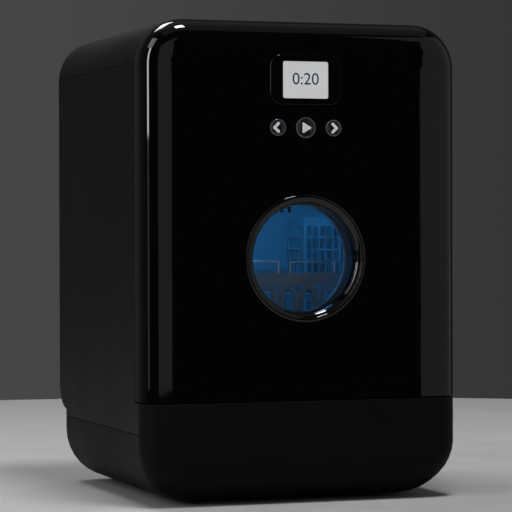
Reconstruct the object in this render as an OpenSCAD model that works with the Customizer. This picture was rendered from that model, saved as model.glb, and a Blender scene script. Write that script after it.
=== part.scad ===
// Countertop dishwasher with a right-hung front door, a round window and a small control panel.
// Millimetres. X to the right seen from the front, front towards -Y, Z up.
// The origin is under the middle of the machine, on the table.

/* [Case] */
// Overall width of the machine
case_w = 340; // [330:5:380]
// Overall depth, from the button faces to the rear panel
case_d = 340; // [335:5:380]
// Overall height with the feet
case_h = 490; // [485:5:540]
// Wall of the moulded case parts
skin = 2.5; // [2:0.5:3]
// Radius of the upper corners seen from the front
top_r = 45; // [40:1:55]
// Radius of the lower corners seen from the front
bottom_r = 55; // [45:1:58]
// Radius of the edge round the front face
edge_r = 22; // [18:1:26]
// Radius of the lower front edge
toe_r = 42; // [32:1:46]
// Width of the crowned band inside the front edge
crown_w = 30; // [20:1:36]
// Fall of that band from the flat of the front
crown_drop = 1.2; // [0.6:0.1:1.6]
// Distance of the side seam of the top cover below the top
cover_drop = 43; // [41:1:50]
// Height of the seam round the base pan
pan_h = 72; // [68:1:76]
// Radius of the step under the rear overhang
step_r = 28; // [24:1:30]
// Straight part of the rear wall between the base seam and that step
step_land = 8; // [6:1:10]
// Gap in the seams between the case parts
joint_gap = 0.5; // [0.3:0.1:0.8]

/* [Base] */
// Height of the rubber feet below the base pan
foot_h = 3; // [2:0.5:4]
// Radius of each foot
foot_r = 13; // [10:1:16]
// Distance of the feet from the middle, side to side
foot_x = 95; // [80:1:98]
// Distance of the feet from the middle, front to back
foot_y = 105; // [90:1:110]
// Height of the front base cover
base_top = 104; // [102:1:106]
// Depth of the front base cover from front to side seam
base_depth = 22; // [20:1:24]

/* [Door] */
// Thickness of the door
door_t = 38; // [36:1:42]
// Wall of the door shell
door_skin = 3; // [2.5:0.5:3.5]
// Gap between the door and the case behind it
seam_gap = 1.5; // [1.4:0.1:2.5]
// Gap between the door and the base cover under it
door_gap = 1.6; // [1.2:0.1:2.5]
// Distance of the hinge axis in from the side of the door
hinge_in = 6; // [5.5:0.5:7]
// Distance of the hinge axis in front of the back of the door
hinge_fwd = 16; // [15:0.5:17]
// Radius of the hinge pins
hinge_pin_r = 2.5; // [2:0.25:3]
// Distance of the lower hinge above the bottom of the door
hinge_low = 44; // [38:1:60]
// Distance of the upper hinge below the top of the machine
hinge_high = 62; // [58:1:80]
// Thickness of each hinge arm
hinge_arm_t = 4; // [3:0.5:5]
// Play between a hinge pin and its bush
run_fit = 0.06; // [0.02:0.01:0.1]

/* [Window] */
// Height of the middle of the round window above the table
window_z = 248.6; // [235:0.1:255]
// Outer radius of the lip round the window
lip_r = 64.5; // [60:0.5:66]
// Radius of the visible glass
glass_r = 54; // [48:0.5:56]
// Depth of the funnel from the front face to the glass
funnel_d = 11.5; // [8:0.5:13]
// Thickness of each pane
pane_t = 3; // [2:0.5:4]
// Proud height of the window lip
lip_proud = 0.9; // [0.6:0.1:1.5]

/* [Controls] */
// Distance of the middle of the display below the top
display_drop = 60.6; // [58:0.1:64]
// Width of the display frame
display_w = 76; // [66:1:80]
// Height of the display frame
display_h = 50; // [46:1:52]
// Corner radius of the display frame
display_r = 12; // [8:1:14]
// Width of the lit screen
screen_w = 48.8; // [44:0.1:52]
// Height of the lit screen
screen_h = 37.3; // [34:0.1:39]
// Distance of the buttons below the middle of the display
button_drop = 48.4; // [46:0.1:52]
// Distance between neighbouring buttons
button_pitch = 30; // [27:0.5:34]
// Radius of the start button
start_r = 10.4; // [9:0.1:11]
// Radius of the two arrow buttons
arrow_r = 8.3; // [7:0.1:9]
// Height of the buttons in front of the door
button_proud = 2; // [1.6:0.1:2.4]
// Travel of each button
button_travel = 1.2; // [0.8:0.1:1.2]

/* [Wash tub] */
// Space between the outside of the case and the inside of the tub, at each side
side_space = 30; // [29:1:34]
// Space behind the inside of the tub
rear_space = 20; // [19:1:22]
// Space above the inside of the tub, which holds the water tank
tank_space = 90; // [88:1:94]
// Height of the tub floor above the top of the base cover
floor_rise = 14; // [14:1:18]
// Wall of the tub
tub_wall = 2; // [1.5:0.5:2]
// Corner radius of the tub
tub_r = 24; // [18:1:28]
// Thickness of the front frame
frame_t = 4; // [3:0.5:5]
// Distance of the sump to the right of the middle
sump_x = 70; // [60:1:74]
// Distance of the sump in front of the middle
sump_fwd = 60; // [56:1:64]
// Radius of the sump opening
sump_r = 41; // [38:0.5:42]
// Radius of the filter cup
cup_r = 27.3; // [24:0.1:28]
// Length of the spray arm
arm_len = 250; // [200:5:250]
// Radius of the spray arm's pivot
pivot_r = 6; // [5:0.5:7]

/* [Basket] */
// Space between the basket and each side of the tub
basket_side = 12; // [11:1:16]
// Space between the mouth of the tub and the basket
basket_in = 11.5; // [11:0.5:16]
// Space between the basket and the back of the tub
basket_back = 10; // [8:1:16]
// Height of the basket floor above the tub floor
basket_floor = 32; // [30:1:34]
// Height of the basket from its floor to the top of its rim
basket_h = 83; // [78:1:86]
// Height of the rim band
rim_h = 12; // [10:0.5:14]
// Thickness of the basket walls
basket_t = 4; // [3:0.5:5]
// Pitch of the waves under the rim
wave_pitch = 23.4; // [20:0.1:28]
// Width of the wave ribbon
wave_w = 5; // [4:0.1:6]
// Height of the waves
wave_h = 30; // [24:1:34]
// Travel of the basket up to the closed door
basket_travel = 8; // [4:1:8]
// Radius of the basket's steel wire
wire_r = 1.2; // [1:0.1:1.5]
// Width of the cutlery basket
cutlery_w = 44; // [36:1:48]
// Depth of the cutlery basket
cutlery_d = 54; // [40:1:58]
// Height of the cutlery basket
cutlery_h = 137; // [110:1:140]

/* [Water] */
// Width of the filler lid
lid_w = 96; // [86:1:104]
// Depth of the filler lid
lid_d = 80; // [72:1:84]
// Thickness of the filler lid
lid_t = 3.2; // [3:0.1:4]
// Radius of the filler throat
throat_r = 28; // [24:1:30]
// Height of the water tank
tank_h = 66; // [58:1:68]
// Radius of the threaded water inlet
inlet_r = 13.2; // [12:0.1:14]
// Radius of the drain spigot
drain_r = 9.5; // [8:0.5:10]
// Radius of the cord opening in the gland
gland_r = 4.1; // [3:0.1:5]
// Length of the inlet and the spigot behind the base
port_len = 22; // [18:1:24]

/* [Hidden] */
$fn = 64;
corner_n = 8;
edge_n = 6;
crown_n = 3;
air = 0.3;
over = 1;

x_half = case_w / 2;
y_front = -case_d / 2 + button_proud;
y_rear = case_d / 2;
y_seam = y_front + door_t;
y_case = y_seam + seam_gap;
y_frame = y_case + 1;
y_mouth = y_frame + frame_t;
y_pan = y_front + base_depth + joint_gap;
y_step = y_rear - step_r;
z_door = base_top + door_gap;
z_cover = case_h - cover_drop;
z_step = pan_h + step_land + step_r;
crown_tilt = atan(2 * crown_drop / crown_w);
edge_end = crown_drop + edge_r * cos(crown_tilt);

tub_x = x_half - side_space;
tub_y = y_rear - rear_space;
tub_z = base_top + floor_rise;
tub_top = case_h - tank_space;
tub_h = tub_top - tub_z;
tub_mid = (tub_top + tub_z) / 2;
arm_y = (y_mouth + tub_y) / 2;
sump_y = -sump_fwd;
arm_z = tub_z + 12;

hinge_x = x_half - hinge_in;
hinge_y = y_seam - hinge_fwd;
hinge_zs = [z_door + hinge_low, case_h - hinge_high];
hinge_block = 14;
bush_r = 5;
lock_z = z_door + (case_h - z_door) * 0.5;

display_z = case_h - display_drop;
button_z = display_z - button_drop;
door_in = y_front + door_skin;
board_y = door_in + 9;
glass_y = y_front + funnel_d;
liner_t = 3;
liner_y = y_seam - liner_t;
inner_pane_y = liner_y - pane_t;
sleeve_r = glass_r + 7.2;
dispenser_z = z_door + 30;
dispenser_h = 46;

basket_x = tub_x - basket_side;
basket_y0 = y_mouth + basket_in;
basket_y1 = tub_y - basket_back;
basket_z = tub_z + basket_floor;
rim_z = basket_z + basket_h;
rail_z = basket_z + 10;
clip_gap = 0.2;
grid_x = basket_x - basket_t;
grid_y0 = basket_y0 + basket_t;
grid_y1 = basket_y1 - basket_t;
grid_bar = 3;
grid_rows = 8;
grid_cols = 9;
grid_pitch_x = (2 * grid_x - grid_bar) / grid_cols;
grid_pitch_y = (grid_y1 - grid_y0 - grid_bar) / grid_rows;

tank_wall = 2;
tank_r = 14;
tank_z = tub_top + tub_wall + 6;
tank_x = tub_x - 15;
tank_y0 = y_mouth + 30;
tank_y1 = y_rear - skin - 22;
tank_drop_x = -tank_x + 20;
tank_drop_y = (tank_y0 + tank_y1) / 2;
lid_y0 = y_rear - 35 - lid_d;
lid_pin_y = lid_y0 + lid_d;
lid_pin_z = case_h - 2.2;
lid_barrel_r = 2.2;
lid_pin_r = 1.2;
lid_gap = 0.5;
throat_y = lid_y0 + lid_d / 2;

floor_z = foot_h + skin;
rib_x = 60;
rib_h = 3;
base_rear = y_step;
port_z = foot_h + 42;
inlet_x = 92;
feed_y = base_rear - skin - 30;
drain_x = 46;
drain_tail_r = drain_r - 0.4;
gland_x = -80;
nipple = 5;
pump_y = sump_y;
pump_z = port_z;
volute_x = 13;
volute_w = 26;
volute_r = 26;
riser_y = pump_y + volute_r - 9;
riser_z = pump_z + volute_r + 1;
drain_pump_y = 45;
elbow_r = 12;
fan_x = 70;
fan_z = tub_z + 200;
fan_w = 80;

black = [0.06, 0.06, 0.065];
dark = [0.12, 0.12, 0.13];
grey = [0.45, 0.46, 0.48];
pale = [0.72, 0.76, 0.8];
steel = [0.7, 0.71, 0.73];

// Helpers

module block(x, y, z) {
  translate([x[0], y[0], z[0]])
    cube([x[1] - x[0], y[1] - y[0], z[1] - z[0]]);
}

module rod_x(x, y, z, r) {
  translate([x[0], y, z])
    rotate([0, 90, 0])
      cylinder(r = r, h = x[1] - x[0]);
}

module rod_y(x, y, z, r) {
  translate([x, y[0], z])
    rotate([-90, 0, 0])
      cylinder(r = r, h = y[1] - y[0]);
}

module rod_z(x, y, z, r) {
  translate([x, y, z[0]])
    cylinder(r = r, h = z[1] - z[0]);
}

// Revolve about an axis along Y. The profile's second coordinate is the place along Y.
module turn_y(x, z, points) {
  translate([x, 0, z])
    rotate([-90, 0, 0])
      rotate_extrude()
        polygon(points);
}

module turn_z(x, y, points) {
  translate([x, y, 0])
    rotate_extrude()
      polygon(points);
}

// Extrude an XZ outline from y[0] to y[1].
module slab_y(y, points) {
  translate([0, y[1], 0])
    rotate([90, 0, 0])
      linear_extrude(y[1] - y[0])
        polygon(points);
}

// Extrude a YZ outline from x[0] to x[1].
module slab_x(x, points) {
  translate([x[0], 0, 0])
    rotate([90, 0, 90])
      linear_extrude(x[1] - x[0])
        polygon(points);
}

function arc(cx, cy, rx, ry, a0, a1, n) =
  [for (i = [0 : n])
    let (a = a0 + (a1 - a0) * i / n)
    [cx + rx * cos(a), cy + ry * sin(a)]];

// Rounded rectangle with its middle at cx, cy.
function round_rect(cx, cy, w, h, r) = concat(
  arc(cx + w / 2 - r, cy - h / 2 + r, r, r, -90, 0, corner_n),
  arc(cx + w / 2 - r, cy + h / 2 - r, r, r, 0, 90, corner_n),
  arc(cx - w / 2 + r, cy + h / 2 - r, r, r, 90, 180, corner_n),
  arc(cx - w / 2 + r, cy - h / 2 + r, r, r, 180, 270, corner_n));

// Closed skin over sections that all have the same number of points.
module loft(sections) {
  n = len(sections[0]);
  m = len(sections);
  first = [for (i = [n - 1 : -1 : 0]) i];
  last = [for (i = [0 : n - 1]) (m - 1) * n + i];
  near = [for (k = [0 : m - 2], i = [0 : n - 1])
    [k * n + i, k * n + (i + 1) % n, (k + 1) * n + (i + 1) % n]];
  far = [for (k = [0 : m - 2], i = [0 : n - 1])
    [k * n + i, (k + 1) * n + (i + 1) % n, (k + 1) * n + i]];
  polyhedron(points = [for (s = sections, p = s) p], faces = concat([first, last], near, far));
}

// Inset of the sides of the front, a depth t behind the front face, for a shell w further in.
function side_inset(t, w) =
  t < w + crown_drop
    ? edge_r * (1 - sin(crown_tilt)) + crown_w * (1 - sqrt(max(t - w, 0) / crown_drop))
    : t < edge_end
      ? edge_r - sqrt(max(pow(edge_r - w, 2) - pow(edge_end - t, 2), 0))
      : w;

// Inset of the lower front edge at the same depth.
function toe_inset(t, w) =
  t < toe_r ? toe_r - sqrt(max(pow(toe_r - w, 2) - pow(toe_r - t, 2), 0)) : w;

// Depths at which the front is drawn: the crowned band first, then the rounded edge.
function front_steps(w) = concat(
  [for (i = [0 : crown_n - 1]) w + crown_drop * pow(i / crown_n, 2)],
  [for (i = [0 : edge_n])
    edge_end - (edge_r - w) * cos(crown_tilt + (90 - crown_tilt) * i / edge_n)]);

function door_section(t, w, z0) =
  let (
    inset = side_inset(t, w),
    hx = x_half - inset,
    zt = case_h - inset,
    r = max(top_r - inset, 6),
    y = y_front + t,
    right = arc(hx - r, zt - r, r, r, 0, 90, corner_n),
    left = arc(-hx + r, zt - r, r, r, 90, 180, corner_n),
    outline = concat([[-hx, z0], [hx, z0]], right, left))
  [for (p = outline) [p[0], y, p[1]]];

function base_section(t, w, z1) =
  let (
    side = side_inset(t, w),
    toe = toe_inset(t, w),
    hx = x_half - side,
    zb = foot_h + toe,
    rx = max(bottom_r - side, 6),
    rz = max(bottom_r - toe, 6),
    y = y_front + t,
    left = arc(-hx + rx, zb + rz, rx, rz, 180, 270, corner_n),
    right = arc(hx - rx, zb + rz, rx, rz, 270, 360, corner_n),
    outline = concat([[-hx, z1]], left, right, [[hx, z1]]))
  [for (p = outline) [p[0], y, p[1]]];

// Outline of the top of the case down to z0, a distance w inside its outer face. It runs from the
// lower right over the top to the lower left, and starts part way up the round corner if z0 does.
function arch(w, z0) =
  let (
    x = x_half - top_r,
    z = case_h - top_r,
    r = top_r - w,
    a = asin(min(max((z0 - z) / r, 0), 1)),
    foot = z0 < z ? [x_half - w] : [])
  concat(
    [for (f = foot) [f, z0]],
    arc(x, z, r, r, a, 90, corner_n),
    arc(-x, z, r, r, 90, 180 - a, corner_n),
    [for (f = foot) [-f, z0]]);

// Closed outline of a shell between two such outlines, open below.
function arch_shell(w0, w1, z0) =
  let (in = arch(w1, z0))
  concat(arch(w0, z0), [for (i = [len(in) - 1 : -1 : 0]) in[i]]);

function mouth(grow) =
  round_rect(0, tub_mid, 2 * (tub_x + grow), tub_h + 2 * grow, tub_r + grow);

// Base

module base_pan() {
  depth = base_rear - y_front;
  outer = concat([for (i = [0 : 4]) base_depth + joint_gap + (toe_r - base_depth - joint_gap) * i / 4],
      [depth]);
  inner = concat([for (i = [0 : 4]) base_depth + joint_gap + skin +
      (toe_r - base_depth - joint_gap - skin) * i / 4],
    [depth - skin]);
  color(black)
    difference() {
      union() {
        difference() {
          loft([for (t = outer) base_section(t, 0, pan_h)]);
          loft([for (t = inner) base_section(t, skin, pan_h + over)]);
        }
        for (sx = [-1, 1], y = [-foot_y, foot_y])
          rod_z(sx * foot_x, y, [foot_h + skin / 2, floor_z + 5], foot_r - 4);
        for (x = [-rib_x, 0, rib_x])
          block([x - 1, x + 1], [-foot_y, foot_y], [foot_h + skin / 2, floor_z + rib_h]);
      }
      for (sx = [-1, 1], y = [-foot_y, foot_y])
        rod_z(sx * foot_x, y, [0, floor_z + 4], 5);
      for (i = [-5 : 5])
        block([i * 9 - 2.5, i * 9 + 2.5], [-100, -70], [0, floor_z + 4]);
      rod_y(inlet_x, [base_rear - 10, base_rear + 1], port_z, inlet_r + 0.2);
      rod_y(drain_x, [base_rear - 10, base_rear + 1], port_z, drain_r + 0.2);
      rod_y(gland_x, [base_rear - 10, base_rear + 1], port_z, gland_r + 3.5);
    }
}

module front_base_cover() {
  steps = [for (t = front_steps(0)) if (t < base_depth) t];
  inner = [for (t = front_steps(skin)) if (t < base_depth) t];
  color(black)
    difference() {
      loft([for (t = concat(steps, [base_depth])) base_section(t, 0, base_top)]);
      loft([for (t = concat(inner, [base_depth + over])) base_section(t, skin, base_top - skin)]);
    }
}

module feet() {
  color(dark)
    for (sx = [-1, 1], y = [-foot_y, foot_y]) {
      turn_z(sx * foot_x, y, [[0, 0], [foot_r - 1, 0], [foot_r, 1], [foot_r, foot_h], [0, foot_h]]);
      rod_z(sx * foot_x, y, [foot_h, floor_z + 4], 4.9);
    }
}

// Case

function side_outline() = concat(
  [[y_pan, pan_h + joint_gap], [y_pan, base_top], [y_case, base_top], [y_case, z_cover - joint_gap],
    [y_rear, z_cover - joint_gap]],
  arc(y_step, z_step, step_r, step_r, 0, -90, corner_n),
  [[y_step, pan_h + joint_gap]]);

module side_panel() {
  flange = 12;
  ribs = 4;
  rib_y0 = y_mouth + 33.5;
  rib_y1 = y_rear - 80;
  union() {
    slab_x([-x_half, -x_half + skin], side_outline());
    block([-x_half + skin, -x_half + skin + 2], [y_pan + 4, y_step - 4], [pan_h - 8, pan_h + 8]);
    for (i = [0 : ribs - 1])
      let (y = rib_y0 + (rib_y1 - rib_y0) * i / (ribs - 1))
      block([-x_half + skin, -x_half + skin + 8], [y - 1, y + 1], [pan_h + 8, z_cover - 20]);
    block([-x_half + skin, -x_half + skin + flange], [y_rear - skin - 3, y_rear - skin],
      [z_step + 10, z_cover - 12]);
  }
}

module left_side_panel() {
  color(black)
    difference() {
      side_panel();
      rear_screw_holes(1.6);
    }
}

module right_side_panel() {
  color(black)
    difference() {
      mirror([1, 0, 0])
        side_panel();
      rear_screw_holes(1.6);
    }
}

module top_cover() {
  lip = skin + 2;
  edge = lid_w / 2 + lid_gap + skin + 0.2;
  color(black)
    difference() {
      union() {
        slab_y([y_case, y_rear], arch_shell(0, skin, z_cover));
        intersection() {
          slab_y([y_mouth + 4, y_rear - skin - 4], arch_shell(skin, lip, z_cover - 8));
          block([-x_half, x_half], [y_case, y_rear], [z_cover - 9, z_cover + 6]);
        }
      }
      block([-edge, edge], [lid_y0 - lid_gap - skin - 0.2, lid_pin_y + lid_barrel_r + lid_gap + skin + 0.6],
        [case_h - skin - over, case_h + over]);
    }
}

module rear_screw_holes(r) {
  for (sx = [-1, 1], z = [z_step + 30, (z_step + z_cover) / 2, z_cover - 30])
    rod_y(sx * (x_half - skin - 6), [y_rear - skin - 4, y_rear + over], z, r);
}

module rear_panel() {
  gap = skin + 0.2;
  color(black)
    difference() {
      union() {
        slab_y([y_rear - skin, y_rear], arch(gap, z_step));
        slab_x([-x_half + gap, x_half - gap], concat(
          arc(y_step, z_step, step_r, step_r, 0, -90, corner_n),
          [[y_step, pan_h + joint_gap], [y_step - skin, pan_h + joint_gap]],
          arc(y_step - skin, z_step, step_r, step_r, -90, 0, corner_n)));
      }
      rear_screw_holes(1.6);
      for (sx = [-1, 1], z = [z_step + 30, (z_step + z_cover) / 2, z_cover - 30])
        translate([sx * (x_half - skin - 6), y_rear - 1.9, z])
          rotate([-90, 0, 0])
            cylinder(r1 = 1.6, r2 = 3.6, h = 2);
      for (i = [-4 : 4])
        let (half = sqrt(pow(fan_w / 2 - 5, 2) - pow(i * 8, 2)))
        block([fan_x - half, fan_x + half], [y_rear - skin - over, y_rear + over],
          [fan_z + i * 8 - 1.5, fan_z + i * 8 + 1.5]);
    }
}

module front_frame() {
  gap = skin + 0.2;
  color(dark)
    difference() {
      slab_y([y_frame, y_mouth], arch(gap, pan_h + 12));
      slab_y([y_frame - over, y_mouth + over], mouth(0));
      for (z = hinge_zs)
        block([hinge_x - 5.5, x_half], [y_frame - over, y_mouth + over],
          [z - hinge_arm_t / 2 - 0.2, z + hinge_arm_t / 2 + 0.2]);
      block([-tub_x - 13.5, -tub_x - 7], [y_frame - over, y_mouth + over], [lock_z - 8.5, lock_z + 8.5]);
      for (z = hinge_zs, dz = [-12, 12])
        rod_y(hinge_x - 10, [y_frame - over, y_mouth + over], z + dz, 1.6);
    }
}

module door_gasket() {
  color(dark)
    difference() {
      union() {
        slab_y([y_frame - 1.2, y_frame], mouth(7));
        slab_y([y_seam + air, y_frame - 1.2], mouth(4.5));
      }
      slab_y([y_seam, y_frame + over], mouth(1));
    }
}

// Wash tub

module wash_tub() {
  color(pale)
    difference() {
      union() {
        slab_y([y_mouth, tub_y + tub_wall], mouth(tub_wall));
        slab_y([y_mouth, y_mouth + 2], mouth(5));
        rod_z(inlet_x, feed_y, [tub_z - tub_wall - 12, tub_z - 1], 6);
      }
      rod_z(inlet_x, feed_y, [tub_z - tub_wall - 13, tub_z + over], 4);
      rod_z(tank_drop_x, tank_drop_y, [tub_top - over, tub_top + tub_wall + over], 7.3);
      slab_y([y_mouth - over, tub_y], mouth(0));
      rod_z(sump_x, sump_y, [tub_z - tub_wall - over, tub_z + over], sump_r);
      rod_z(0, arm_y, [tub_z - tub_wall - over, tub_z + over], pivot_r + 0.3);
      block([-30.3, 30.3], [-70.3, -53.7], [tub_top - over, tub_top + tub_wall + over]);
      for (i = [-3 : 3])
        block([fan_x + i * 9 - 2, fan_x + i * 9 + 2], [tub_y - over, tub_y + tub_wall + over],
          [fan_z - 20, fan_z + 20]);
    }
}

module sump() {
  z1 = tub_z - tub_wall;
  z0 = pump_z - 14;
  color(grey)
    difference() {
      union() {
        turn_z(sump_x, sump_y, [[0, z0], [sump_r - 8, z0], [sump_r - 3, z0 + 7], [sump_r - 3, z1 - 3],
          [sump_r + 7, z1 - 3], [sump_r + 7, z1], [0, z1]]);
        rod_x([sump_x - sump_r - nipple, sump_x], sump_y, pump_z, 8);
        rod_y(sump_x, [sump_y, sump_y + sump_r + nipple], pump_z, 6);
      }
      turn_z(sump_x, sump_y, [[0, z0 + 2.5], [sump_r - 9.5, z0 + 2.5], [sump_r - 5.5, z0 + 9],
        [sump_r - 5.5, z1 + over], [0, z1 + over]]);
      rod_x([sump_x - sump_r - nipple - over, sump_x], sump_y, pump_z, 6);
      rod_y(sump_x, [sump_y, sump_y + sump_r + nipple + over], pump_z, 4.5);
    }
}

module filter_plate() {
  z1 = tub_z - tub_wall;
  rings = 3;
  color(steel)
    difference() {
      turn_z(sump_x, sump_y, [[cup_r + 0.3, z1], [sump_r - 0.3, z1], [sump_r - 0.3, z1 + 1.5],
          [cup_r + 0.3, z1 + 1.5]]);
      for (k = [0 : rings - 1], i = [0 : 17])
        let (r = cup_r + 3.2 + k * 3.8, a = 20 * i + 10 * (k % 2))
        rod_z(sump_x + r * cos(a), sump_y + r * sin(a), [z1 - over, z1 + 2 + over], 1.2);
    }
}

module filter_cup() {
  z0 = tub_z - tub_wall - 47;
  z1 = tub_z + 1;
  wall = 1.5;
  color(grey)
    difference() {
      union() {
        rod_z(sump_x, sump_y, [z0, z1], cup_r);
        block([sump_x - cup_r + 3, sump_x + cup_r - 3], [sump_y - 2, sump_y + 2], [z1 - over, z1 + 6]);
      }
      difference() {
        rod_z(sump_x, sump_y, [z0 + wall, z1 - 1.5], cup_r - wall);
        block([sump_x - cup_r, sump_x + cup_r], [sump_y - 2, sump_y + 2], [z1 - 6, z1]);
      }
      for (i = [0 : 11])
        translate([sump_x, sump_y, 0])
          rotate([0, 0, 30 * i + 15])
            block([cup_r - 4, cup_r + 2], [-3, 3], [z0 + 6, z0 + 30]);
      for (i = [0 : 9])
        let (a = 36 * i + 18)
        rod_z(sump_x + (cup_r - 8) * cos(a), sump_y + (cup_r - 8) * sin(a), [z1 - 4, z1 + over], 2.5);
    }
}

module basket_runners() {
  color(grey)
    for (sx = [-1, 1])
      mirror([sx > 0 ? 0 : 1, 0, 0]) {
        union() {
          block([tub_x - 9, tub_x], [basket_y0, basket_y1], [rail_z - 3, rail_z]);
          block([tub_x - 2, tub_x], [basket_y0, basket_y1], [rail_z - 9, rail_z + 7]);
        }
      }
}

module spray_arm_pivot() {
  z0 = tub_z - tub_wall - 14;
  color(grey)
    difference() {
      union() {
        turn_z(0, arm_y, [[0, z0], [8, z0], [8, tub_z - tub_wall - 1], [pivot_r, tub_z - tub_wall - 1],
            [pivot_r, tub_z], [pivot_r + 8, tub_z], [pivot_r + 8, tub_z + 3],
          [pivot_r + 3, tub_z + 5], [pivot_r + 3, arm_z - air], [pivot_r, arm_z - air],
              [pivot_r, arm_z + 14],
          [pivot_r - 2, arm_z + 15], [0, arm_z + 15]]);
      }
      rod_z(0, arm_y, [z0 - over, arm_z + 10], pivot_r - 2.5);
      for (a = [0, 90])
        translate([0, arm_y, arm_z + 6])
          rotate([0, 0, a])
            rod_x([-pivot_r - over, pivot_r + over], 0, 0, 2);
    }
}

module spray_arm() {
  tip = arm_len / 2 - 9;
  color(grey)
    difference() {
      union() {
        rod_z(0, arm_y, [arm_z, arm_z + 12], pivot_r + 8);
        for (sx = [-1, 1])
          hull() {
            rod_z(0, arm_y, [arm_z + 1, arm_z + 10], pivot_r + 7, $fn = 32);
            translate([sx * tip, arm_y + sx * 4, arm_z + 2])
              cylinder(r = 9, h = 6, $fn = 32);
          }
      }
      rod_z(0, arm_y, [arm_z - over, arm_z + 13], pivot_r + run_fit);
      for (sx = [-1, 1], i = [1 : 4])
        rod_z(sx * (22 + i * 22), arm_y + sx * (i * 0.9), [arm_z + 5, arm_z + 12], 1.3);
    }
}

module led_lens() {
  color([0.55, 0.8, 1])
    union() {
      block([-30, 30], [-70, -54], [tub_top - 1, tub_top + tub_wall]);
      block([-34, 34], [-74, -50], [tub_top + tub_wall, tub_top + tub_wall + 2.5]);
    }
}

// Basket

// Holes that leave a ribbon of round arches standing: one under each arch and a notch between
// each pair. Each hole is a loop of points.
function wave_holes(x0, x1, y0) =
  let (
    n = round((x1 - x0) / wave_pitch),
    pitch = (x1 - x0) / n,
    outer = pitch / 2 - 1.3,
    inner = outer - wave_w,
    mid = wave_h - outer,
    side = arc(pitch / 2, mid, -outer, outer, 0, 70, 5),
    arch_hole = concat([[-inner - 1.5, 0]], arc(0, mid, inner, inner, 180, 0, 8), [[inner + 1.5, 0]]),
    notch_hole = concat([[0, mid - 8]], side, [for (i = [5 : -1 : 0]) [-side[i][0], side[i][1]]]))
  concat(
    [for (i = [0 : n - 1]) [for (p = arch_hole) [x0 + (i + 0.5) * pitch + p[0], y0 + p[1]]]],
    [for (i = [1 : n - 1]) [for (p = notch_hole) [x0 + i * pitch + p[0], y0 + p[1]]]]);

function window_holes(x0, x1, y0, y1, n, bar) =
  let (pitch = (x1 - x0 + bar) / n)
  [for (i = [0 : n - 1])
    let (a = x0 + i * pitch)
    [[a, y0], [a + pitch - bar, y0], [a + pitch - bar, y1], [a, y1]]];

// Plate with holes, each given as its own loop of points.
module pierced(outline, holes) {
  loops = concat([outline], holes);
  starts = [for (i = 0, s = 0; i < len(loops); s = s + len(loops[i]), i = i + 1) s];
  polygon(
    points = [for (l = loops, p = l) p],
    paths = [for (i = [0 : len(loops) - 1]) [for (k = [0 : len(loops[i]) - 1]) starts[i] + k]]);
}

// One wall in its own plane: rim, waves, a rail, posts and a foot rail.
module basket_wall(x0, x1) {
  rail = basket_h - rim_h - wave_h;
  linear_extrude(basket_t)
    pierced([[x0, 0], [x1, 0], [x1, basket_h], [x0, basket_h]],
      concat(wave_holes(x0 + 5, x1 - 5, rail), window_holes(x0 + 5, x1 - 5, 6, rail - 5, 10, 4)));
}

// The basket is five clipped panels: front, rear, two sides with their slide rails, and the floor grid.
module dish_basket() {
  color(pale) {
    for (y = [grid_y0, basket_y1])
      translate([0, y, basket_z])
        rotate([90, 0, 0])
          basket_wall(-basket_x, basket_x);
    for (sx = [-1, 1])
      union() {
        translate([sx > 0 ? grid_x : -basket_x, 0, basket_z])
          rotate([90, 0, 90])
            basket_wall(grid_y0 + clip_gap, grid_y1 - clip_gap);
        block([sx > 0 ? basket_x - 1 : -basket_x - 6, sx > 0 ? basket_x + 6 : -basket_x + 1],
          [grid_y0 + 2, grid_y1 - 2], [rail_z + air, rail_z + air + 4]);
      }
    translate([0, 0, basket_z + 1])
      linear_extrude(4)
        pierced([[-grid_x + clip_gap, grid_y0 + clip_gap], [grid_x - clip_gap, grid_y0 + clip_gap],
          [grid_x - clip_gap, grid_y1 - clip_gap], [-grid_x + clip_gap, grid_y1 - clip_gap]],
          [for (i = [0 : grid_rows - 1],
            h = window_holes(-grid_x + grid_bar, grid_x - grid_bar,
              grid_y0 + grid_bar + i * grid_pitch_y, grid_y0 + (i + 1) * grid_pitch_y, grid_cols,
                  grid_bar)) h]);
  }
}

module wire_loop(x0, x1, y, z0, z1) {
  union() {
    for (x = [x0, x1]) {
      rod_z(x, y, [z0, z1], wire_r);
      translate([x, y, z1])
        sphere(r = wire_r);
    }
    rod_x([x0, x1], y, z1, wire_r);
  }
}

module basket_wires() {
  loop_w = 49;
  loop_pitch = 62;
  loop_x = 3;
  color(steel) {
    for (i = [-1 : 1])
      let (x = loop_x + i * loop_pitch)
      wire_loop(x, x + loop_w, basket_y0 + basket_t / 2, rim_z, rim_z + 12);
    for (i = [1 : 5])
      wire_loop(-grid_x + grid_bar / 2 + grid_pitch_x, -grid_x + grid_bar / 2 + 6 * grid_pitch_x,
        grid_y0 + grid_bar / 2 + i * grid_pitch_y, basket_z + 5, basket_z + 60);
  }
}

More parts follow.
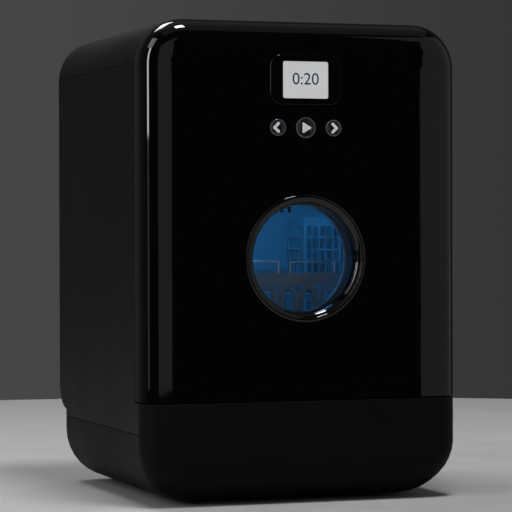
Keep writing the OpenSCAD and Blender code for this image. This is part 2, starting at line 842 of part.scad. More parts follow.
module cutlery_basket() {
  x1 = basket_x - basket_t - 0.4;
  x0 = x1 - cutlery_w;
  y1 = basket_y1 - 30;
  y0 = y1 - cutlery_d;
  z0 = basket_z + 5;
  z1 = z0 + cutlery_h;
  wall = 2;
  rows = 9;
  cols = 5;
  pitch_z = (cutlery_h - 14) / rows;
  pitch_x = (cutlery_w - 4) / cols;
  pitch_y = (cutlery_d - 4) / 6;
  color(pale)
    difference() {
      block([x0, x1], [y0, y1], [z0, z1]);
      block([x0 + wall, x1 - wall], [y0 + wall, y1 - wall], [z0 + wall, z1 + over]);
      for (r = [0 : rows - 1])
        let (z = z0 + 6 + r * pitch_z) {
          for (c = [0 : cols - 1])
            block([x0 + 3 + c * pitch_x, x0 + 1.4 + (c + 1) * pitch_x], [y0 - over, y1 + over],
                [z, z + pitch_z - 2]);
          for (c = [0 : 5])
            block([x0 - over, x1 + over], [y0 + 3 + c * pitch_y, y0 + 1.4 + (c + 1) * pitch_y],
                [z, z + pitch_z - 2]);
        }
    }
}

// Water

// The tank is moulded in two halves that are welded under its lid
module water_tank() {
  width = 2 * tank_x;
  depth = tank_y1 - tank_y0;
  color(pale)
    difference() {
      union() {
        translate([0, 0, tank_z])
          linear_extrude(tank_h - tank_wall)
            polygon(round_rect(0, tank_drop_y, width, depth, tank_r));
        for (sx = [-1, 1], y = [tank_y0 + 24, tank_y1 - 24])
          rod_z(sx * (tank_x - 24), y, [tub_top + tub_wall, tank_z + 1], 8);
        rod_z(tank_drop_x, tank_drop_y, [tub_top - 2, tank_z + 1], 7);
      }
      translate([0, 0, tank_z + tank_wall])
        linear_extrude(tank_h)
          polygon(round_rect(0, tank_drop_y, width - 2 * tank_wall, depth - 2 * tank_wall,
              tank_r - tank_wall));
      rod_z(tank_drop_x, tank_drop_y, [tub_top - 3, tank_z + 3], 5);
    }
}

module tank_lid() {
  z0 = tank_z + tank_h - tank_wall;
  color(pale)
    difference() {
      translate([0, 0, z0])
        linear_extrude(tank_wall)
          polygon(round_rect(0, tank_drop_y, 2 * tank_x, tank_y1 - tank_y0, tank_r));
      rod_z(0, throat_y, [z0 - over, z0 + tank_wall + over], throat_r + 2.3);
    }
}

module filler_neck() {
  hx = lid_w / 2 + lid_gap;
  ya = lid_y0 - lid_gap;
  yb = lid_pin_y + lid_barrel_r + lid_gap + 0.4;
  z0 = case_h - 14;
  flange = 6;
  color(black)
    difference() {
      union() {
        block([-hx - skin, hx + skin], [ya - skin, yb + skin], [z0, case_h]);
        block([-hx - flange, hx + flange], [ya - flange, yb + flange], [case_h - 2 * skin, case_h - skin]);
        rod_z(0, throat_y, [tank_z + tank_h - 6, z0 + 1], throat_r + 2);
      }
      block([-hx, hx], [ya, yb], [z0 + 2, case_h + over]);
      rod_z(0, throat_y, [tank_z + tank_h - 7, case_h], throat_r);
      rod_x([-hx - 2, hx + 2], lid_pin_y, lid_pin_z, lid_pin_r + run_fit);
    }
}

module filler_lid() {
  finger = 12;
  color(black)
    difference() {
      union() {
        block([-lid_w / 2, lid_w / 2], [lid_y0, lid_pin_y], [case_h - lid_t, case_h]);
        rod_x([-lid_w / 2, lid_w / 2], lid_pin_y, lid_pin_z, lid_barrel_r);
        rod_x([-lid_w / 2 - lid_gap - 1.8, lid_w / 2 + lid_gap + 1.8], lid_pin_y, lid_pin_z, lid_pin_r);
        difference() {
          rod_z(0, throat_y, [case_h - lid_t - 5, case_h - lid_t + 1], throat_r - 1);
          rod_z(0, throat_y, [case_h - lid_t - 6, case_h - lid_t], throat_r - 3);
        }
      }
      translate([0, lid_y0 - 4, case_h])
        rod_z(0, 0, [-1.4, over], finger);
    }
}

// Base machinery

module wash_pump_housing() {
  motor_r = 24;
  x0 = volute_x - volute_w;
  color(grey)
    difference() {
      union() {
        rod_x([x0 - 75, x0 + 1], pump_y, pump_z, motor_r);
        rod_x([x0, volute_x], pump_y, pump_z, volute_r);
        rod_x([volute_x - 1, volute_x + 8], pump_y, pump_z, 8);
        rod_z(0, riser_y, [pump_z, riser_z + 6], 8);
        for (x = [-rib_x, 0])
          block([x - 5, x + 5], [pump_y - 20, pump_y + 20], [floor_z + rib_h, pump_z]);
      }
      rod_x([x0 + 3, volute_x - 3], pump_y, pump_z, volute_r - 4);
      rod_x([volute_x - 4, volute_x + 15], pump_y, pump_z, 6);
      rod_z(0, riser_y, [pump_z, riser_z + 7], 6);
      rod_x([x0 - 20, x0 + 4], pump_y, pump_z, 3 + run_fit);
    }
}

module wash_impeller() {
  x0 = volute_x - volute_w;
  color(pale)
    union() {
      rod_x([x0 - 19.5, x0 + 12], pump_y, pump_z, 3);
      rod_x([x0 + 4, x0 + 6], pump_y, pump_z, volute_r - 7);
      rod_x([x0 + 4, x0 + 18], pump_y, pump_z, 8);
      for (i = [0 : 5])
        translate([0, pump_y, pump_z])
          rotate([60 * i, 0, 0])
            block([x0 + 5, x0 + 17], [-1.2, 1.2], [6, volute_r - 7]);
    }
}

module drain_pump_housing() {
  x = sump_x;
  y = drain_pump_y;
  color(grey)
    difference() {
      union() {
        rod_z(x, y, [floor_z + rib_h, floor_z + rib_h + 4], 24);
        rod_z(x, y, [floor_z + rib_h + 3, pump_z - 12], 17);
        rod_z(x, y, [pump_z - 13, pump_z + 12], 21);
        rod_y(x, [y - 32, y], pump_z, 6);
        rod_y(drain_x, [y, y + 34], pump_z, drain_tail_r);
        block([drain_x - 12, x], [y - 12, y + 14], [pump_z - 12, pump_z + 12]);
      }
      rod_y(x, [y - 33, y], pump_z, 4.5);
      rod_y(drain_x, [y + 4, y + 35], pump_z, drain_tail_r - 2);
    }
}

module heater() {
  color(steel)
    union() {
      rod_x([-100, -14], 50, floor_z + 24, 15);
      rod_x([-104, -100], 50, floor_z + 24, 18);
      rod_x([-14, -10], 50, floor_z + 24, 18);
      for (x = [-90, -28])
        block([x - 5, x + 5], [42, 58], [floor_z, floor_z + 20]);
      for (y = [44, 56])
        rod_x([-112, -104], y, floor_z + 24, 2);
    }
}

module water_inlet() {
  y0 = base_rear - skin;
  color(grey)
    difference() {
      union() {
        rod_y(inlet_x, [base_rear, base_rear + port_len], port_z, inlet_r);
        rod_y(inlet_x, [y0 - 1, base_rear + 1], port_z, inlet_r - 0.4);
        rod_y(inlet_x, [y0 - 5, y0], port_z, inlet_r + 4);
        block([inlet_x - 12, inlet_x + 12], [y0 - 42, y0 - 4], [port_z - 12, port_z + 12]);
        rod_z(inlet_x, feed_y, [port_z, port_z + 24], 6);
      }
      rod_y(inlet_x, [y0 - 20, base_rear + port_len + over], port_z, inlet_r - 3);
      rod_z(inlet_x, feed_y, [port_z, port_z + 25], 4);
    }
}

module drain_outlet() {
  y0 = base_rear - skin;
  color(grey)
    difference() {
      union() {
        rod_y(drain_x, [base_rear, base_rear + port_len], port_z, drain_r);
        rod_y(drain_x, [y0 - 20, base_rear + 1], port_z, drain_tail_r);
        rod_y(drain_x, [y0 - 4, y0], port_z, drain_r + 5);
      }
      rod_y(drain_x, [y0 - 21, base_rear + port_len + over], port_z, drain_r - 2.5);
    }
}

module cord_gland() {
  color(dark)
    difference() {
      union() {
        rod_y(gland_x, [base_rear, base_rear + 5], port_z, gland_r + 6);
        rod_y(gland_x, [base_rear - skin - 4, base_rear + 1], port_z, gland_r + 3.4);
        rod_y(gland_x, [base_rear - skin - 4, base_rear - skin], port_z, gland_r + 6);
      }
      rod_y(gland_x, [base_rear - skin - 5, base_rear + 6], port_z, gland_r);
    }
}

module hose_ring(r, bore) {
  difference() {
    circle(r = r);
    circle(r = bore);
  }
}

// Quarter bend in a plane that holds Z, from straight up to straight along +Y.
module elbow(r, bore) {
  translate([0, elbow_r, 0])
    rotate([90, 0, -90])
      rotate_extrude(angle = 90)
        translate([elbow_r, 0])
          hose_ring(r, bore);
}

// Hose from the wash pump up to the spray arm's pivot, with two bends.
module riser_hose() {
  z1 = tub_z - tub_wall - 14;
  z0 = z1 - 2 * elbow_r;
  translate([0, riser_y, z0])
    elbow(9.8, 8.06);
  translate([0, riser_y, riser_z])
    linear_extrude(z0 - riser_z)
      hose_ring(9.8, 8.06);
  translate([0, riser_y + elbow_r, z0 + elbow_r])
    rotate([-90, 0, 0])
      linear_extrude(arm_y - riser_y - 2 * elbow_r)
        hose_ring(9.8, 8.06);
  translate([0, arm_y, z1])
    rotate([180, 0, 0])
      elbow(9.8, 8.06);
  translate([0, arm_y, z1])
    linear_extrude(10)
      hose_ring(9.8, 8.06);
}

module straight_hose_y(x, y, z, r, bore) {
  translate([x, y[0], z])
    rotate([-90, 0, 0])
      linear_extrude(y[1] - y[0])
        hose_ring(r, bore);
}

module hoses() {
  color(dark) {
    translate([volute_x + 1, pump_y, pump_z])
      rotate([0, 90, 0])
        linear_extrude(sump_x - sump_r + 2 - volute_x)
          hose_ring(10, 8.06);
    riser_hose();
    straight_hose_y(sump_x, [sump_y + sump_r - 2, drain_pump_y - 22], pump_z, 8, 6.06);
    translate([inlet_x, feed_y, port_z + 13])
      linear_extrude(tub_z - tub_wall - 2 - port_z - 13)
        hose_ring(8, 6.06);
    straight_hose_y(drain_x, [drain_pump_y + 22, base_rear - skin - 8], port_z, drain_r + 2.2,
        drain_tail_r + 0.06);
  }
}

module power_board() {
  x0 = -108;
  x1 = 12;
  y0 = 84;
  y1 = base_rear - skin - 5;
  z0 = floor_z + 5;
  color(dark)
    union() {
      block([x0, x1], [y0, y1], [z0, z0 + 26]);
      for (i = [0 : 7])
        block([x0 + 8 + i * 14, x0 + 14 + i * 14], [y0 + 6, y1 - 6], [z0 + 25, z0 + 32]);
    }
}

module fan_housing() {
  color(dark)
    difference() {
      union() {
        block([fan_x - fan_w / 2, fan_x + fan_w / 2], [tub_y + tub_wall, y_rear - skin],
            [fan_z - fan_w / 2, fan_z + fan_w / 2]);
      }
      rod_y(fan_x, [tub_y + tub_wall + 3, y_rear - skin + over], fan_z, fan_w / 2 - 2);
      for (i = [0 : 5])
        translate([fan_x, 0, fan_z])
          rotate([0, 60 * i, 0])
            block([14, 34], [tub_y, tub_y + tub_wall + 4], [-5, 5]);
      rod_y(fan_x, [tub_y, y_rear], fan_z, 2 + run_fit);
    }
}

module fan_rotor() {
  y0 = tub_y + tub_wall + 3 + air;
  depth = y_rear - skin - y0 - 2;
  color(grey)
    union() {
      rod_y(fan_x, [y0 - 3, y0 + depth], fan_z, 2);
      rod_y(fan_x, [y0, y0 + depth], fan_z, 13);
      for (i = [0 : 6])
        translate([fan_x, 0, fan_z])
          rotate([0, 360 / 7 * i, 0])
            translate([0, y0 + depth / 2, 12])
              rotate([0, 0, 35])
                block([-depth / 2, depth / 2], [-0.8, 0.8], [0, 23]);
    }
}

// Hinges and lock

module hinge_brackets() {
  color(steel)
    for (z = hinge_zs)
      difference() {
        union() {
          block([hinge_x - 4.5, x_half - skin - 0.5], [hinge_y, y_mouth + 2],
              [z - hinge_arm_t / 2, z + hinge_arm_t / 2]);
          rod_z(hinge_x, hinge_y, [z - hinge_arm_t / 2, z + hinge_arm_t / 2], 4.8);
          block([hinge_x - 15, x_half - skin - 0.5], [y_mouth, y_mouth + 2], [z - 18, z + 18]);
        }
        rod_z(hinge_x, hinge_y, [z - 4, z + 4], hinge_pin_r);
        for (dz = [-12, 12])
          rod_y(hinge_x - 10, [y_mouth - over, y_mouth + 3], z + dz, 1.6);
      }
}

module hinge_pins() {
  color(steel)
    for (z = hinge_zs)
      rod_z(hinge_x, hinge_y, [z - hinge_block + 1, z + hinge_block - 1], hinge_pin_r);
}

module hinge_bushes() {
  inner = hinge_arm_t / 2 + 0.8;
  color(pale)
    for (z = hinge_zs, s = [-1, 1])
      translate([0, 0, z])
        difference() {
          rod_z(hinge_x, hinge_y, s > 0 ? [inner, hinge_block - 2] : [-hinge_block + 2, -inner], bush_r);
          rod_z(hinge_x, hinge_y, [-hinge_block, hinge_block], hinge_pin_r + run_fit);
        }
}

module door_lock() {
  x0 = -x_half + skin + 0.5;
  x1 = -tub_x - 5.4;
  color(dark)
    difference() {
      block([x0, x1], [y_mouth, y_mouth + 20], [lock_z - 13, lock_z + 13]);
      block([-tub_x - 13.5, -tub_x - 7], [y_mouth - over, y_mouth + 13], [lock_z - 8.5, lock_z + 8.5]);
      rod_x([x0 - over, -tub_x - 8], y_mouth + 5, lock_z, 3 + run_fit);
    }
}

module lock_bolt() {
  x0 = -x_half + skin + 1;
  color(steel)
    rod_x([x0, -tub_x - 14], y_mouth + 5, lock_z, 3);
}

module door_strike() {
  x1 = -tub_x - 8.3;
  bolt_y = y_mouth + 5;
  room = 3.6;
  color(steel)
    union() {
      block([x1 - 2.5, x1], [liner_y, bolt_y - room], [lock_z - 7, lock_z + 7]);
      block([x1 - 2.5, x1], [liner_y, bolt_y + room + 2], [lock_z - 7, lock_z - room]);
      block([x1 - 2.5, x1], [bolt_y + room, bolt_y + room + 2], [lock_z - 7, lock_z + 7]);
      block([x1 - 8, x1 + 4], [liner_y - 1.5, liner_y], [lock_z - 12, lock_z + 12]);
    }
}

module case_screws() {
  color(steel)
    for (sx = [-1, 1], z = [z_step + 30, (z_step + z_cover) / 2, z_cover - 30])
      translate([sx * (x_half - skin - 6), y_rear, z])
        rotate([90, 0, 0])
          difference() {
            union() {
              cylinder(r1 = 3.5, r2 = 1.5, h = 1.9);
              cylinder(r = 1.5, h = skin + 3);
            }
            translate([-0.4, -2, -over])
              cube([0.8, 4, 1.8]);
          }
}

// Door

module door_skin_form(w) {
  last = w > 0 ? door_t + over : door_t;
  loft([for (t = concat(front_steps(w), [last])) door_section(t, w, z_door + w)]);
}

function door_screw_spots() =
  [for (sx = [-1, 1], z = [z_door + 20, window_z, case_h - 24])
    [sx * (z == window_z ? x_half - 30 : x_half - 46), z]];

module door_shell() {
  color(black)
    difference() {
      union() {
        difference() {
          door_skin_form(0);
          door_skin_form(door_skin);
        }
        for (z = hinge_zs)
          block([hinge_x - 9, x_half - door_skin + 0.5], [hinge_y - 8, liner_y - 0.3],
              [z - hinge_block, z + hinge_block]);
        for (p = door_screw_spots())
          rod_y(p[0], [door_in - 0.5, liner_y], p[1], 4);
        for (sx = [-1, 1], z = [button_z - 15, display_z + 30])
          rod_y(sx * 42, [door_in - 0.5, board_y], z, 3);
        rod_y(0, [door_in - 0.5, glass_y + pane_t], window_z, sleeve_r + 3);
      }
      rod_y(0, [y_front - over, glass_y + pane_t + over], window_z, sleeve_r);
      slab_y([y_front - over, door_in + over], round_rect(0, display_z, display_w - 2, display_h - 2,
          display_r - 1));
      rod_y(0, [y_front - over, door_in + over], button_z, start_r + 0.25);
      for (sx = [-1, 1])
        rod_y(sx * button_pitch, [y_front - over, door_in + over], button_z, arrow_r + 0.25);
      for (z = hinge_zs) {
        block([hinge_x - 6, x_half + over], [hinge_y - 9, y_seam + over],
          [z - hinge_arm_t / 2 - 0.8, z + hinge_arm_t / 2 + 0.8]);
        rod_z(hinge_x, hinge_y, [z - hinge_block + 1, z + hinge_block - 1], bush_r);
      }
      for (p = door_screw_spots())
        rod_y(p[0], [liner_y - 12, liner_y + over], p[1], 1.5);
    }
}

module door_liner() {
  gap = door_skin + 0.3;
  bulge_y = y_mouth - 0.5;
  color(pale)
    difference() {
      union() {
        slab_y([liner_y, y_seam], concat(
          [[-x_half + gap, z_door + gap], [x_half - gap, z_door + gap]],
          arc(x_half - top_r, case_h - top_r, top_r - gap, top_r - gap, 0, 90, corner_n),
          arc(-x_half + top_r, case_h - top_r, top_r - gap, top_r - gap, 90, 180, corner_n)));
        slab_y([y_seam - 1, bulge_y], mouth(-5));
      }
      slab_y([liner_y - over, bulge_y - 2.5], mouth(-7.5));
      rod_y(0, [liner_y - over, bulge_y + over], window_z, glass_r + 3);
      for (z = hinge_zs)
        block([hinge_x - 6, x_half], [liner_y - over, y_seam + over],
          [z - hinge_arm_t / 2 - 0.8, z + hinge_arm_t / 2 + 0.8]);
      block([-tub_x - 11, -tub_x - 8], [liner_y - over, y_seam + over], [lock_z - 7.3, lock_z + 7.3]);
      block([-50.3, 10.3], [liner_y - over, bulge_y + over],
          [dispenser_z - 0.3, dispenser_z + dispenser_h + 0.3]);
      for (p = door_screw_spots()) {
        rod_y(p[0], [liner_y - over, y_seam + over], p[1], 1.7);
        translate([p[0], y_seam - 1.9, p[1]])
          rotate([-90, 0, 0])
            cylinder(r1 = 1.6, r2 = 3.6, h = 2);
      }
    }
}

// Profile of the window bezel: a rounded lip and a funnel down to the glass.
function bezel_profile() =
  let (
    lip_w = 4,
    lip_in = lip_r - lip_w,
    depth = funnel_d)
  concat(
    arc(lip_r - lip_w / 2, y_front, lip_w / 2, lip_proud, 0, -180, corner_n),
    [for (i = [1 : 6])
      let (a = 90 * i / 6)
      [glass_r + (lip_in - glass_r) * (1 - sin(a)), y_front + depth * (1 - cos(a))]],
    [[sleeve_r - 0.2, glass_y], [sleeve_r - 0.2, y_front]]);

module window_bezel() {
  color(black)
    turn_y(0, window_z, [for (p = bezel_profile()) [p[0], p[1]]]);
}

module outer_glass() {
  color([0.6, 0.8, 0.95, 0.35])
    rod_y(0, [glass_y, glass_y + pane_t], window_z, sleeve_r - 0.3);
}

module inner_glass() {
  color([0.6, 0.8, 0.95, 0.35])
    rod_y(0, [inner_pane_y, liner_y], window_z, sleeve_r - 0.3);
}

module window_spacer() {
  color(dark)
    difference() {
      union() {
        rod_y(0, [glass_y + pane_t, liner_y], window_z, sleeve_r + 3);
      }
      rod_y(0, [glass_y, inner_pane_y + over], window_z, glass_r + 2.5);
      rod_y(0, [inner_pane_y, liner_y + over], window_z, sleeve_r);
    }
}

module display_frame() {
  y1 = board_y - 4;
  color(black)
    difference() {
      union() {
        slab_y([y_front - 0.8, y_front], round_rect(0, display_z, display_w, display_h, display_r));
        slab_y([y_front - 0.1, y1], round_rect(0, display_z, display_w - 2.6, display_h - 2.6,
            display_r - 1.3));
      }
      slab_y([y_front - 2, y_front + 3], round_rect(0, display_z, screen_w, screen_h, 2));
      slab_y([y_front + 2.5, y1 + over], round_rect(0, display_z, screen_w + 7, screen_h + 7, 2));
    }
}

module display_screen() {
  y1 = board_y - 4;
  color([0.92, 0.93, 0.95])
    union() {
      slab_y([y_front, y_front + 2.6], round_rect(0, display_z, screen_w - 0.4, screen_h - 0.4, 1.8));
      slab_y([y_front + 2.5, y1], round_rect(0, display_z, screen_w + 6.6, screen_h + 6.6, 1.8));
      block([-20, 20], [y1 - 0.1, board_y], [display_z - 12, display_z + 12]);
    }
}

module control_board() {
  color([0.05, 0.3, 0.15])
    union() {
      block([-47, 47], [board_y, board_y + 1.6], [button_z - 20, display_z + 34]);
      for (i = [-1 : 1])
        rod_y(i * button_pitch, [board_y - 0.8, board_y + 0.1], button_z, 3.5);
      block([-30, 30], [board_y + 1.5, board_y + 8], [display_z - 20, display_z + 10]);
      block([-14, 14], [board_y + 1.5, board_y + 10], [button_z - 14, button_z + 2]);
    }
}

module button(x, r) {
  flange_y = door_in + air;
  color([0.8, 0.82, 0.85, 0.5])
    turn_y(x, button_z, concat(
      [[0, flange_y + 1.2], [0, y_front - button_proud]],
      [for (i = [1 : 5])
        let (a = 90 * i / 5)
        [r * sin(a), y_front - button_proud + 1.1 * (1 - cos(a))]],
      [[r, flange_y], [r + 1.2, flange_y], [r + 1.2, flange_y + 1.2]]));
}

module back_button() {
  button(-button_pitch, arrow_r);
}

module start_button() {
  button(0, start_r);
}

module next_button() {
  button(button_pitch, arrow_r);
}

module plunger(x) {
  y0 = door_in + air + 1.2;
  y1 = board_y - 0.8 - air - button_travel;
  color(dark)
    union() {
      rod_y(x, [y0, y0 + 1.2], button_z, 7);
      rod_y(x, [y0 + 1, y1], button_z, 3);
    }
}

module back_plunger() {
  plunger(-button_pitch);
}

module start_plunger() {
  plunger(0);
}

module next_plunger() {
  plunger(button_pitch);
}

module dispenser_box() {
  y1 = y_mouth - 1.2;
  y0 = liner_y - 6;
  color(grey)
    difference() {
      block([-50, 10], [y0, y1], [dispenser_z, dispenser_z + dispenser_h]);
      block([-46, -22], [y0 + 2, y1 + over], [dispenser_z + 4, dispenser_z + dispenser_h - 4]);
    }
}

module dispenser_lid() {
  y1 = y_mouth - 1.2 + air;
  color(pale)
    union() {
      block([-48, -20], [y1, y1 + 1.5], [dispenser_z + 2, dispenser_z + dispenser_h - 2]);
      block([-36, -32], [y1 + 1, y1 + 3.2], [dispenser_z + 10, dispenser_z + dispenser_h - 10]);
    }
}

module door_screws() {
  color(steel)
    for (p = door_screw_spots())
      translate([p[0], y_seam, p[1]])
        rotate([90, 0, 0])
          difference() {
            union() {
              cylinder(r1 = 3.5, r2 = 1.5, h = 1.9);
              cylinder(r = 1.5, h = 12);
            }
            translate([-0.4, -2, -over])
              cube([0.8, 4, 1.8]);
          }
}

base_pan();
front_base_cover();
feet();
left_side_panel();
right_side_panel();
top_cover();
rear_panel();
front_frame();
door_gasket();
wash_tub();
sump();
filter_plate();
basket_runners();
spray_arm_pivot();
led_lens();
water_tank();
tank_lid();
filler_neck();
wash_pump_housing();
drain_pump_housing();
heater();
water_inlet();
drain_outlet();
hoses();
power_board();
cord_gland();
fan_housing();
hinge_brackets();
hinge_pins();
door_lock();
case_screws();
door_shell();
door_liner();
window_bezel();
outer_glass();
inner_glass();
window_spacer();
display_frame();
display_screen();
control_board();
door_strike();
hinge_bushes();
dispenser_box();
door_screws();
back_button();
start_button();
next_button();
back_plunger();
start_plunger();
next_plunger();
lock_bolt();
spray_arm();
dish_basket();
basket_wires();
cutlery_basket();
filler_lid();
dispenser_lid();
filter_cup();
wash_impeller();
fan_rotor();
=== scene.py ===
import math

import bpy
from mathutils import Euler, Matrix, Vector


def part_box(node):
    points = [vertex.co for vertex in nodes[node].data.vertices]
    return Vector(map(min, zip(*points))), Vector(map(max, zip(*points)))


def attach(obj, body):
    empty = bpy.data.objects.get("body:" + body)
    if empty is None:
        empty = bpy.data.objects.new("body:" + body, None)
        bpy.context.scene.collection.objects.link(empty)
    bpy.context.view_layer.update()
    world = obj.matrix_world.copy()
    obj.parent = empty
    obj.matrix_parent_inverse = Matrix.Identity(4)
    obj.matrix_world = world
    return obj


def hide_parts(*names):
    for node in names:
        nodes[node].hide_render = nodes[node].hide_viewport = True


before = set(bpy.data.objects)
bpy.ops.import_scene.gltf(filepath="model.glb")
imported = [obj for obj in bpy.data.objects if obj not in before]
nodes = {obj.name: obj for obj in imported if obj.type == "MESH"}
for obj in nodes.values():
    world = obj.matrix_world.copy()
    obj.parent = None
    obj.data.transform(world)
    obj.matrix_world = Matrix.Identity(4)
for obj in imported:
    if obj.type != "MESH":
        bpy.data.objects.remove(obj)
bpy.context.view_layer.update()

MM = 0.001


def mm(*sizes):
    """Millimetres as a vector in metres."""
    return Vector(sizes) * MM


def middle(node):
    """Middle of a node's box, in metres."""
    low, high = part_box(node)
    return (low + high) / 2


# Sizes and places taken from the frame

screen_front_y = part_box("display_screen")[0].y
button_face_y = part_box("start_button")[0].y
lens_underside_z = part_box("led_lens")[0].z


# Materials

def shader(name, colour, roughness, **sockets):
    """A material with its main surface node, and its constants set on that node."""
    material = bpy.data.materials.new(name)
    material.use_nodes = True
    surface = material.node_tree.nodes["Principled BSDF"]
    surface.inputs["Base Color"].default_value = (*colour, 1)
    surface.inputs["Roughness"].default_value = roughness
    for socket, value in sockets.items():
        surface.inputs[socket.replace("_", " ")].default_value = value
    return material, surface


def place(material, scale=(1, 1, 1)):
    """Object coordinates, stretched by scale."""
    tree = material.node_tree
    where = tree.nodes.new("ShaderNodeTexCoord")
    stretch = tree.nodes.new("ShaderNodeMapping")
    stretch.inputs["Scale"].default_value = scale
    tree.links.new(where.outputs["Object"], stretch.inputs["Vector"])
    return stretch.outputs["Vector"]


def noise(material, where, scale, detail=3):
    """Noise with that many cells to the metre."""
    node = material.node_tree.nodes.new("ShaderNodeTexNoise")
    node.inputs["Scale"].default_value = scale
    node.inputs["Detail"].default_value = detail
    material.node_tree.links.new(where, node.inputs["Vector"])
    return node.outputs["Fac"]


def vary_colour(material, surface, factor, low, high):
    """The surface runs from one colour to another with the factor."""
    tree = material.node_tree
    ramp = tree.nodes.new("ShaderNodeValToRGB")
    ramp.color_ramp.elements[0].position = 0.3
    ramp.color_ramp.elements[1].position = 0.7
    ramp.color_ramp.elements[0].color = (*low, 1)
    ramp.color_ramp.elements[1].color = (*high, 1)
    tree.links.new(factor, ramp.inputs["Fac"])
    tree.links.new(ramp.outputs["Color"], surface.inputs["Base Color"])


def vary_roughness(material, surface, factor, low, high):
    """The roughness runs between two values with the factor."""
    tree = material.node_tree
    spread = tree.nodes.new("ShaderNodeMapRange")
    spread.inputs["From Min"].default_value = 0.3
    spread.inputs["From Max"].default_value = 0.7
    spread.inputs["To Min"].default_value = low
    spread.inputs["To Max"].default_value = high
    tree.links.new(factor, spread.inputs["Value"])
    tree.links.new(spread.outputs["Result"], surface.inputs["Roughness"])


def bump(material, surface, height, depth):
    """Relief of that depth in metres."""
    tree = material.node_tree
    node = tree.nodes.new("ShaderNodeBump")
    node.inputs["Strength"].default_value = 1
    node.inputs["Distance"].default_value = depth
    tree.links.new(height, node.inputs["Height"])
    tree.links.new(node.outputs["Normal"], surface.inputs["Normal"])


def moulded(name, colour, roughness, grain=1500, depth=0.00003, spread=0.15, **sockets):
    """Moulded plastic: a fine grain, a faint cloud in its colour and uneven gloss."""
    material, surface = shader(name, colour, roughness, **sockets)
    where = place(material)
    cloud = noise(material, where, 14)
    fine = noise(material, where, grain, 2)
    dark = [c * (1 - spread) for c in colour]
    light = [min(1, c * (1 + spread)) for c in colour]
    vary_colour(material, surface, cloud, dark, light)
    vary_roughness(material, surface, cloud, roughness * 0.9, min(1, roughness * 1.12))
    bump(material, surface, fine, depth)
    return material


def polished(name, colour, roughness, wave, depth, **sockets):
    """Polished plastic: a clear gloss with the slow waves of a moulded face and faint haze."""
    material, surface = shader(name, colour, roughness, **sockets)
    where = place(material)
    haze = noise(material, where, 60, 4)
    slow = noise(material, place(material, (1, 1, 0.35)), wave, 1)
    vary_roughness(material, surface, haze, roughness * 0.6, roughness * 1.6)
    bump(material, surface, slow, depth)
    return material


def brushed(name, colour, roughness, along=(1, 1, 0.04)):
    """Metal with fine lines along one axis."""
    material, surface = shader(name, colour, roughness, Metallic=1)
    lines = noise(material, place(material, along), 2600, 2)
    cloud = noise(material, place(material), 25)
    vary_roughness(material, surface, lines, roughness * 0.75, roughness * 1.3)
    vary_colour(material, surface, cloud, [c * 0.9 for c in colour], colour)
    bump(material, surface, lines, 0.000008)
    return material


def clear(name, tint, roughness=0.0, ior=1.45):
    """Clear glass or plastic with a trace of haze."""
    material, surface = shader(name, tint, roughness, IOR=ior)
    surface.inputs["Transmission Weight"].default_value = 1
    haze = noise(material, place(material), 90, 3)
    vary_roughness(material, surface, haze, roughness, roughness + 0.012)
    return material


def lit(name, colour, glow, strength, roughness=0.3):
    """A lit face with a soft fall in its colour."""
    material, surface = shader(name, colour, roughness)
    surface.inputs["Emission Strength"].default_value = strength
    cloud = noise(material, place(material), 45, 1)
    tree = material.node_tree
    ramp = tree.nodes.new("ShaderNodeValToRGB")
    ramp.color_ramp.elements[0].color = (*[g * 0.93 for g in glow], 1)
    ramp.color_ramp.elements[1].color = (*glow, 1)
    tree.links.new(cloud, ramp.inputs["Fac"])
    tree.links.new(ramp.outputs["Color"], surface.inputs["Emission Color"])
    return material


# Finishes of this machine

case_satin = moulded("case_satin_black", (0.005, 0.005, 0.0052), 0.5, Specular_IOR_Level=0.1)
base_satin = moulded("base_satin_black", (0.0045, 0.0045, 0.0047), 0.52, Specular_IOR_Level=0.06)
piano_black = polished("piano_black", (0.0006, 0.0006, 0.00065), 0.03, 22, 0.0001,
                       Specular_IOR_Level=0.45)
bezel_black = polished("polished_bezel", (0.0008, 0.0008, 0.0009), 0.05, 60, 0.00002)
foot_rubber = moulded("foot_rubber", (0.02, 0.02, 0.021), 0.8, 900, 0.00008)
seal_rubber = moulded("seal_rubber", (0.09, 0.09, 0.1), 0.6, 900, 0.00004)
hose_rubber = moulded("hose_rubber", (0.03, 0.03, 0.032), 0.55, 700, 0.00006)
tub_plastic = moulded("tub_plastic", (0.62, 0.66, 0.7), 0.32, 1200, 0.00001, 0.04)
basket_plastic = moulded("basket_plastic", (0.46, 0.48, 0.5), 0.38, 1500, 0.00002, 0.06)
part_grey = moulded("part_grey", (0.26, 0.27, 0.29), 0.45)
frame_dark = moulded("frame_dark", (0.03, 0.03, 0.033), 0.45)
white_bush = moulded("white_bush", (0.75, 0.75, 0.72), 0.35, 1500, 0.00001, 0.05)
board_green = moulded("board_green", (0.02, 0.12, 0.05), 0.3, 1800, 0.00002)
steel = brushed("brushed_steel", (0.62, 0.62, 0.64), 0.28)
wire_steel = brushed("wire_steel", (0.75, 0.76, 0.78), 0.16)
pane_glass = clear("pane_glass", (0.93, 0.97, 1.0))
cap_clear = clear("cap_clear", (0.9, 0.92, 0.95), 0.01, 1.49)
screen_white = lit("screen_white", (0.05, 0.05, 0.05), (0.5, 0.505, 0.51), 1)
lens_blue = lit("lens_blue", (0.35, 0.7, 1), (0.15, 0.55, 1), 3)
icon_white = lit("icon_white", (0.6, 0.6, 0.6), (0.33, 0.34, 0.35), 1)
digit_ink = lit("digit_ink", (0.01, 0.015, 0.06), (0.004, 0.006, 0.03), 1)
# A ring that glows at a set level, though it is no lamp: a painted highlight for the bright line round the
# edge of each button cap
rim_painted_highlight = lit("rim_painted_highlight", (0.06, 0.06, 0.062), (0.05, 0.05, 0.052), 1, 0.2)
disc_black = moulded("disc_black", (0.004, 0.004, 0.004), 0.25)
